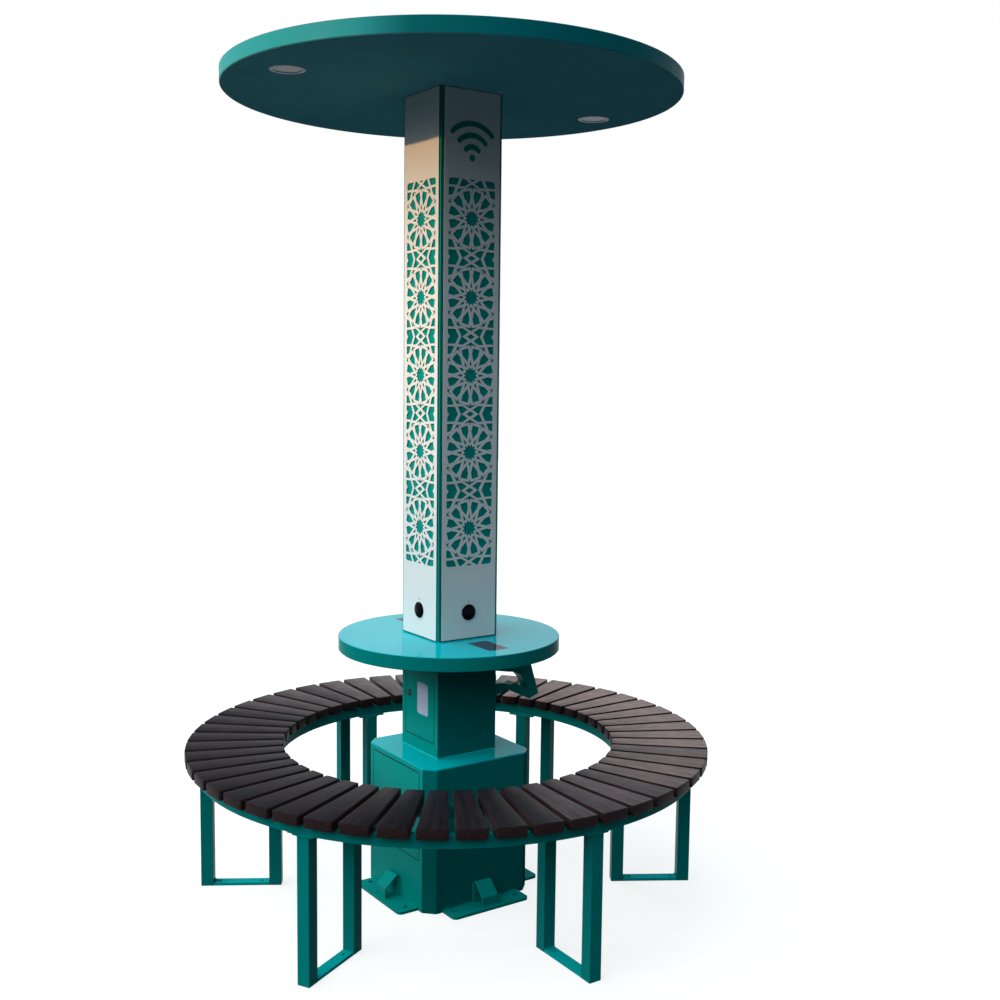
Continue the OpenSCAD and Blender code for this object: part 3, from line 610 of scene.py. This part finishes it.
finishOfSlot = {
    "teal_paint": "teal",
    "white_facade": "facade",
    "zinc_steel": "zinc",
    "lock_chrome": "chrome",
    "battery_case": "case",
    "black_plastic": "mattBlack",
    "gloss_black": "glossBlack",
    "pale_plastic": "pale",
    "window_plastic": "window",
    "conduit_plastic": "conduit",
    "module_aluminium": "aluminium",
    "lamp_aluminium": "bezel",
    "pad_glass": "pad",
    "solar_glass": "solar",
    "lamp_lens": "lens",
    "wood_composite": "slat",
}
finishOfNode = {  # where a piece differs from the rest of its slot
    "table_top": "table",
    "cabinet_top_plate": "tray",
    "bench_foot_bars": "bar",
    "bench_posts": "post",
    "seat_rings": "post",
    "cabinet_shell": "box",
    "pedestal_shell": "box",
    "canopy_pan": "canopy",
    "cabinet_lock_cam": "chrome",
    "pedestal_lock_cam": "chrome",
    "cabinet_door_pivots": "mattBlack",
    "pedestal_door_pivots": "mattBlack",
}
slotOfNode = {s["node"]: s["material_slot"] for s in frame["record"]["subparts"]}


def dressNodes():
    for name, node in cad.items():
        finish = finishOfNode.get(name, finishOfSlot[slotOfNode[name]])
        node.data.materials.clear()
        node.data.materials.append(finishes[finish])


dressNodes()
print("stage: finishes on the CAD nodes")

# Pieces


def linkPiece(name, mesh, material, body):
    piece = bpy.data.objects.new(name, mesh)
    scene.collection.objects.link(piece)
    mesh.materials.clear()
    mesh.materials.append(material)
    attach(piece, body)
    return piece


def bodyOfNode(name):
    for body, members in frame["record"]["behaviour"]["bodies"].items():
        if name in members:
            return body
    return "root"


def replaceNode(nodeName, suffix, mesh):
    material = cad[nodeName].data.materials[0]
    piece = linkPiece(nodeName + suffix, mesh, material, bodyOfNode(nodeName))
    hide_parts(nodeName)


def plainCopy(nodeName, mergeWithin):  # merged corners, and no stored normals, which would show as facets
    mesh = cad[nodeName].data.copy()
    stored = mesh.attributes.get("custom_normal")
    if stored:
        mesh.attributes.remove(stored)
    form = bmesh.new()
    form.from_mesh(mesh)
    bmesh.ops.remove_doubles(form, verts=form.verts, dist=mergeWithin)
    return mesh, form


def finishedMesh(carrier):  # the mesh that a carrier's modifiers make. The carrier goes
    mesh = bpy.data.meshes.new_from_object(carrier.evaluated_get(bpy.context.evaluated_depsgraph_get()))
    bpy.data.objects.remove(carrier)
    return mesh


# Sheet metal, bars and cases with fine rounded edges

softLook = {
    "mergeWithin": 0.00002,
    "flatWithin": 1.0,  # degrees
    "sharpFrom": 35.0,  # degrees
    "segments": 2,
    "widths": {
        "cabinet_shell": 0.0008,
        "cabinet_top_plate": 0.0015,
        "cabinet_door": 0.0006,
        "anchor_plates": 0.0015,
        "anchor_straps": 0.0012,
        "pedestal_door": 0.0006,
        "table_stay": 0.002,
        "column_tube": 0.002,
        "bench_posts": 0.003,
        "bench_foot_bars": 0.001,
        "bench_leg_plates": 0.001,
        "cabinet_lock_body": 0.0006,
        "pedestal_lock_body": 0.0006,
        "downlight_bezels": 0.0005,
        "battery": 0.002,
        "charge_controller": 0.0008,
    },
}


def softenEdges(look):
    for nodeName, width in look["widths"].items():
        mesh, form = plainCopy(nodeName, look["mergeWithin"])
        bmesh.ops.dissolve_limit(form, angle_limit=math.radians(look["flatWithin"]), verts=form.verts,
                                 edges=form.edges, use_dissolve_boundaries=False)
        for face in form.faces:
            face.smooth = True
        form.to_mesh(mesh)
        form.free()
        carrier = bpy.data.objects.new("carrier", mesh)
        scene.collection.objects.link(carrier)
        bevel = carrier.modifiers.new("bevel", "BEVEL")
        bevel.width = width
        bevel.segments = look["segments"]
        bevel.limit_method = "ANGLE"
        bevel.angle_limit = math.radians(look["sharpFrom"])
        bevel.harden_normals = True
        bevel.miter_outer = "MITER_ARC"
        replaceNode(nodeName, "_soft", finishedMesh(carrier))


# Turned and rolled pieces, shaded smooth

smoothLook = {
    "mergeWithin": 0.00001,
    "levelFrom": 0.999,  # level faces stay flat, so that long triangles don't show
    "sharpFrom": 28,  # degrees
    "nodes": ["table_top", "table_underplate", "canopy_pan", "canopy_deck", "seat_rings", "socket_shells",
              "socket_ports", "socket_cap_front", "socket_cap_back", "socket_cap_left", "socket_cap_right",
              "downlight_lenses", "cable_conduit", "pad_glasses", "status_lamps", "pedestal_lock_cam",
              "cabinet_lock_cam"],
}


def smoothRounds(look):
    for nodeName in look["nodes"]:
        mesh, form = plainCopy(nodeName, look["mergeWithin"])
        form.to_mesh(mesh)
        form.free()
        for face in mesh.polygons:
            face.use_smooth = abs(face.normal.z) < look["levelFrom"]
        mesh.set_sharp_from_angle(angle=math.radians(look["sharpFrom"]))
        replaceNode(nodeName, "_smooth", mesh)


# Forms made from rings of corners


def turnedPath(points, degrees):
    a = math.radians(degrees)
    return [(x * math.cos(a) - y * math.sin(a), x * math.sin(a) + y * math.cos(a), z) for x, y, z in points]


def rectangle(half, low, high):
    return [(-half, low), (half, low), (half, high), (-half, high)]


def addRing(form, points):
    return [form.verts.new(point) for point in points]


def joinRings(form, first, second):
    for i in range(len(first)):
        j = (i + 1) % len(first)
        form.faces.new((first[i], first[j], second[j], second[i]))


def closeRings(form, rings):
    for first, second in zip(rings, rings[1:] + rings[:1]):
        joinRings(form, first, second)


def addFrame(form, outer, inner, near, far, turn=0):  # a flat frame that faces X, between two depths
    section = ((near, outer), (near, inner), (far, inner), (far, outer))
    closeRings(form, [addRing(form, turnedPath([(depth, y, z) for y, z in outline], turn))
                      for depth, outline in section])


def closedMesh(form, name):
    bmesh.ops.recalc_face_normals(form, faces=form.faces)
    mesh = bpy.data.meshes.new(name)
    form.to_mesh(mesh)
    form.free()
    return mesh


# Geometry Nodes: each tree makes one piece from named inputs


def newTree(name, inputKinds):
    tree = bpy.data.node_groups.new(name, "GeometryNodeTree")
    tree.interface.new_socket("Geometry", in_out="OUTPUT", socket_type="NodeSocketGeometry")
    ids = {}
    for label, kind in inputKinds.items():
        socket = tree.interface.new_socket(label, in_out="INPUT", socket_type="NodeSocket" + kind)
        ids[label] = socket.identifier
    return tree, tree.nodes.new("NodeGroupInput"), tree.nodes.new("NodeGroupOutput"), ids


def randomValue(tree, kind, seed, **values):
    node = addNode(tree, "FunctionNodeRandomValue", {}, data_type=kind)
    sockets = {socket.name: socket for socket in node.inputs if socket.enabled}
    for label, value in dict(values, Seed=seed).items():
        feed(tree, sockets[label], value)
    return [socket for socket in node.outputs if socket.enabled][0]


def paintCopies(tree, source, sink, copies):
    real = addNode(tree, "GeometryNodeRealizeInstances", {"Geometry": copies}).outputs["Geometry"]
    paint = addNode(tree, "GeometryNodeSetMaterial", {"Geometry": real, "Material": source.outputs["Finish"]})
    feed(tree, sink.inputs["Geometry"], paint.outputs["Geometry"])


def runTree(name, tree, ids, values, start=None):
    carrier = bpy.data.objects.new(name, start or bpy.data.meshes.new(name + "Start"))
    scene.collection.objects.link(carrier)
    modifier = carrier.modifiers.new("nodes", "NODES")
    modifier.node_group = tree
    for label, value in values.items():
        modifier[ids[label]] = value
    mesh = finishedMesh(carrier)
    mesh.name = name
    for face in mesh.polygons:
        face.use_smooth = True
    return mesh


# Slats: one plank with rounded edges, copied round the ring

slatLook = {
    "count": 50,
    "turn": 4.5,  # degrees, middle of the first slat
    "inner": 0.485,
    "outer": 0.761,
    "innerGap": 0.012,
    "outerGap": 0.016,
    "low": 0.422,
    "high": 0.450,
    "corner": 0.005,
    "cornerSteps": 3,
    "edge": 0.002,
    "edgeSteps": 2,
    "sharpFrom": 40,  # degrees
    "paintedLightSide": 5.0,  # degrees, where the slat tops get the most painted light
    "toneSpread": 0.14,  # each slat's own tone, either way
    "toneSeed": 7,
}


def makePlank(look):
    half = math.pi / look["count"]
    inner, outer = look["inner"], look["outer"]
    innerWide, outerWide = [reach * math.tan(half) - gap / 2 / math.cos(half)
                            for reach, gap in ((inner, look["innerGap"]), (outer, look["outerGap"]))]
    corners = [(inner, -innerWide), (outer, -outerWide), (outer, outerWide), (inner, innerWide)]
    form = bmesh.new()
    low, high = [addRing(form, [(x, y, z) for x, y in corners]) for z in (look["low"], look["high"])]
    form.faces.new(list(reversed(low)))
    form.faces.new(high)
    joinRings(form, low, high)
    halfThick = (look["high"] - look["low"]) / 2
    for upright, width, steps in ((True, look["corner"], look["cornerSteps"]),
                                  (False, look["edge"], look["edgeSteps"])):
        edges = [e for e in form.edges if (abs(e.verts[0].co.z - e.verts[1].co.z) > halfThick) == upright]
        bmesh.ops.bevel(form, geom=edges, offset=width, segments=steps, profile=0.5, affect="EDGES")
    plank = bpy.data.objects.new("plank", closedMesh(form, "plank"))
    scene.collection.objects.link(plank)
    return plank


def slatTree():
    tree, source, sink, ids = newTree("slatRing", {
        "Count": "Int", "Turn": "Float", "Plank": "Object", "Seed": "Int", "Sun": "Float", "Spread": "Float",
        "Finish": "Material"})
    index = tree.nodes.new("GeometryNodeInputIndex").outputs[0]
    step = mathNode(tree, "DIVIDE", 2 * math.pi, source.outputs["Count"])
    angle = mathNode(tree, "ADD", mathNode(tree, "MULTIPLY", index, step), source.outputs["Turn"])

    # the grain follows the plank's own places, kept before it is copied
    plank = addNode(tree, "GeometryNodeObjectInfo", {"Object": source.outputs["Plank"]}).outputs["Geometry"]
    place = tree.nodes.new("GeometryNodeInputPosition").outputs[0]
    grain = {"Geometry": plank, "Name": "grain", "Value": place}
    grained = addNode(tree, "GeometryNodeStoreNamedAttribute", grain, data_type="FLOAT_VECTOR")

    points = addNode(tree, "GeometryNodePoints", {"Count": source.outputs["Count"]}).outputs[0]
    turn = addNode(tree, "ShaderNodeCombineXYZ", {"Z": angle}).outputs[0]
    spread = {"Points": points, "Instance": grained.outputs["Geometry"], "Rotation": turn}
    copies = addNode(tree, "GeometryNodeInstanceOnPoints", spread).outputs["Instances"]

    # painted light from 0 to 1, most on the sunny side, plus a tone that is uneven from slat to slat at
    # random
    sunny = mathNode(tree, "COSINE", mathNode(tree, "SUBTRACT", angle, source.outputs["Sun"]), 0.0)
    paintedLightShare = mathNode(tree, "ADD", mathNode(tree, "MULTIPLY", sunny, 0.5), 0.5)
    uneven = mathNode(tree, "SUBTRACT", randomValue(tree, "FLOAT", source.outputs["Seed"]), 0.5)
    wander = mathNode(tree, "MULTIPLY", mathNode(tree, "MULTIPLY", uneven, source.outputs["Spread"]), 2.0)
    slatTone = {"Geometry": copies, "Name": "slatTone", "Value": mathNode(tree, "ADD", paintedLightShare, wander)}
    toned = addNode(tree, "GeometryNodeStoreNamedAttribute", slatTone, data_type="FLOAT", domain="INSTANCE")
    paintCopies(tree, source, sink, toned.outputs["Geometry"])
    return tree, ids


def makeSlats(look):
    plank = makePlank(look)
    tree, ids = slatTree()
    mesh = runTree("benchSlats", tree, ids, {
        "Count": look["count"], "Turn": math.radians(look["turn"]), "Plank": plank, "Seed": look["toneSeed"],
        "Sun": math.radians(look["paintedLightSide"]), "Spread": look["toneSpread"], "Finish": finishes["slat"]})
    bpy.data.objects.remove(plank)
    mesh.set_sharp_from_angle(angle=math.radians(look["sharpFrom"]))
    replaceNode("bench_slats", "_dressed", mesh)


# Weld beads: overlapping drops along each seam. Seams lie half a millimetre off the steel

weldLook = {
    "step": 0.0028,
    "radius": 0.0024,
    "uneven": 0.2,
    "seed": 3,
    "dropRounds": 1,
    "fullTurn": 6.28,  # radians
    "turnSeed": 11,
}
anchorWeldLook = {  # on the +X side, repeated on the other three
    "wall": 0.1805,
    "plateTop": 0.0085,
    "seams": ((-0.126, -0.094), (-0.066, -0.03), (0.03, 0.058), (0.09, 0.126)),
    "strapHalf": 0.027,
    "strapToe": 0.2305,
    "strapFoot": (0.2255, 0.23),
    "strapOnWall": (0.014, 0.06),
}
stayWeldLook = {
    "wall": 0.1005,
    "half": 0.021,
    "onWall": ((0.539, 0.593), (0.641, 0.661)),
    "underTable": 0.7195,
    "alongTable": (0.228, 0.259),
}
benchWeldLook = {
    "legs": 6,
    "firstLeg": -151.5,  # degrees
    "posts": ((0.512, 0.497), (0.712, 0.705)),  # middle of each post and inner side of the ring above it
    "postHalf": 0.018,
    "postTop": 0.386,
    "ringLow": 0.3925,
    "ringSides": (-0.0005, 0.0305),
    "ringSeams": ((-0.04, -0.012), (0.01, 0.038)),
    "postFeet": (0.5305, 0.6935),
    "footHalf": 0.016,
    "footBarTop": 0.0085,
}


def anchorSeams(look):
    seams = []
    wall, top, half = look["wall"], look["plateTop"], look["strapHalf"]
    for side in (0, 90, 180, 270):
        straight = [[(wall, start, top), (wall, end, top)] for start, end in look["seams"]]
        straight.append([(look["strapToe"], -half, top), (look["strapToe"], half, top)])
        for y in (-half, half):
            straight.append([(x, y, top) for x in look["strapFoot"]])
            straight.append([(wall, y, z) for z in look["strapOnWall"]])
        seams += [turnedPath(seam, side) for seam in straight]
    return seams


def staySeams(look):
    seams = []
    for y in (-look["half"], look["half"]):
        seams += [[(look["wall"], y, low), (look["wall"], y, high)] for low, high in look["onWall"]]
        seams.append([(x, y, look["underTable"]) for x in look["alongTable"]])
    return seams


def benchSeams(look):
    seams = []
    half = look["postHalf"]
    for leg in range(look["legs"]):
        straight = []
        for post, ring in look["posts"]:
            around = rectangle(half, -half, half)
            straight.append([(post + x, y, look["postTop"]) for x, y in around + around[:1]])
            for r in (ring + side for side in look["ringSides"]):
                straight += [[(r, start, look["ringLow"]), (r, end, look["ringLow"])]
                             for start, end in look["ringSeams"]]
        straight += [[(r, y, look["footBarTop"]) for y in (-look["footHalf"], look["footHalf"])]
                     for r in look["postFeet"]]
        seams += [turnedPath(seam, look["firstLeg"] + leg * 360 / look["legs"]) for seam in straight]
    return seams


def beadTree(look):
    tree, source, sink, ids = newTree("weldBead", {
        "Paths": "Geometry", "Step": "Float", "Radius": "Float", "Uneven": "Float", "Seed": "Int",
        "Finish": "Material"})
    curve = addNode(tree, "GeometryNodeMeshToCurve", {0: source.outputs["Paths"]}).outputs[0]
    points = addNode(tree, "GeometryNodeCurveToPoints", {"Curve": curve, "Length": source.outputs["Step"]},
                     mode="LENGTH").outputs["Points"]
    ball = {"Radius": source.outputs["Radius"], "Subdivisions": look["dropRounds"]}
    drop = addNode(tree, "GeometryNodeMeshIcoSphere", ball).outputs["Mesh"]
    smallest = mathNode(tree, "SUBTRACT", 1.0, source.outputs["Uneven"])
    size = randomValue(tree, "FLOAT", source.outputs["Seed"], Min=smallest, Max=1.0)
    turn = randomValue(tree, "FLOAT_VECTOR", look["turnSeed"], Max=(look["fullTurn"],) * 3)
    spread = {"Points": points, "Instance": drop, "Rotation": turn, "Scale": size}
    copies = addNode(tree, "GeometryNodeInstanceOnPoints", spread).outputs["Instances"]
    paintCopies(tree, source, sink, copies)
    return tree, ids


def seamMesh(name, seams):
    points, edges = [], []
    for seam in seams:
        start = len(points)
        points += seam
        edges += [(start + i, start + i + 1) for i in range(len(seam) - 1)]
    mesh = bpy.data.meshes.new(name)
    mesh.from_pydata(points, edges, [])
    return mesh


def makeWelds(look):
    tree, ids = beadTree(look)
    values = {"Step": look["step"], "Radius": look["radius"], "Uneven": look["uneven"], "Seed": look["seed"],
              "Finish": finishes["teal"]}
    for name, seams in (("cabinet_welds", anchorSeams(anchorWeldLook) + staySeams(stayWeldLook)),
                        ("bench_welds", benchSeams(benchWeldLook))):
        mesh = runTree(name, tree, ids, values, seamMesh(name + "Seams", seams))
        linkPiece(name, mesh, finishes["teal"], "root")


# Smooth fillets where the pedestal meets the cabinet and the table, in the paler tray paint as a painted
# highlight

filletLook = {"half": 0.1, "leg": 0.003, "bite": 0.001, "steps": 4, "joins": ((0.42, 1), (0.72, -1))}


def makeFillets(look):
    form = bmesh.new()
    for z, up in look["joins"]:
        profile = []
        for i in range(look["steps"] + 1):
            a = math.radians(90 * i / look["steps"])
            out, along = [look["leg"] * (1 - part) for part in (math.sin(a), math.cos(a))]
            profile.append((look["half"] + out, z + up * along))
        profile.append((look["half"] - look["bite"], z))
        closeRings(form, [addRing(form, [(x, y, height) for x, y in rectangle(reach, -reach, reach)])
                          for reach, height in profile])
    mesh = closedMesh(form, "pedestalFillets")
    linkPiece("pedestal_fillets", mesh, finishes["tray"], "root")


# Black strip of painted shadow that shows as a fine line round each facade panel

gapShadowLook = {"half": 0.092, "low": 0.764, "high": 2.298, "proud": 0.0014, "back": 0.1, "front": 0.1022}


def makeGapShadowStrips(look):
    form = bmesh.new()
    outer, inner = [rectangle(look["half"] + proud, look["low"] - proud, look["high"] + proud)
                    for proud in (look["proud"], 0)]
    for side in (0, 90, 180, 270):
        addFrame(form, outer, inner, look["front"], look["back"], side)
    mesh = closedMesh(form, "facadeGapShadowStrips")
    linkPiece("facade_gaskets", mesh, finishes["mattBlack"], "root")


# Black strips of painted shadow in the gaps round both doors: one strip on the opening, one on the leaf

doorGapShadeLook = {
    "front": 0.0001,
    "back": 0.0018,
    "thick": 0.0006,
    "bite": 0.00005,
    "gap": 0.0025,
    "doors": {
        "cabinet": {"wall": -0.18, "half": 0.1335, "low": 0.146, "high": 0.404},
        "pedestal": {"wall": -0.1, "half": 0.081, "low": 0.458, "high": 0.704},
    },
}


def makeDoorGapShade(look):
    opening = (look["bite"], -look["thick"])
    leaf = (look["thick"] - look["gap"], -look["bite"] - look["gap"])
    for door, place in look["doors"].items():
        strips = (("_opening_edging", "root", opening), ("_door_edging", door + "_door", leaf))
        for suffix, body, growth in strips:
            outer, inner = [rectangle(place["half"] + grown, place["low"] - grown, place["high"] + grown)
                            for grown in growth]
            form = bmesh.new()
            addFrame(form, outer, inner, place["wall"] + look["front"], place["wall"] + look["back"])
            mesh = closedMesh(form, door + suffix)
            linkPiece(door + suffix, mesh, finishes["mattBlack"], body)


softenEdges(softLook)
print("stage: softened sheet metal")
makeSlats(slatLook)
print("stage: slats")
makeWelds(weldLook)
makeFillets(filletLook)
makeGapShadowStrips(gapShadowLook)
makeDoorGapShade(doorGapShadeLook)
print("stage: welds, fillets, painted shadow strips round the panels and in the door gaps")
smoothRounds(smoothLook)
print("stage: smooth round pieces")
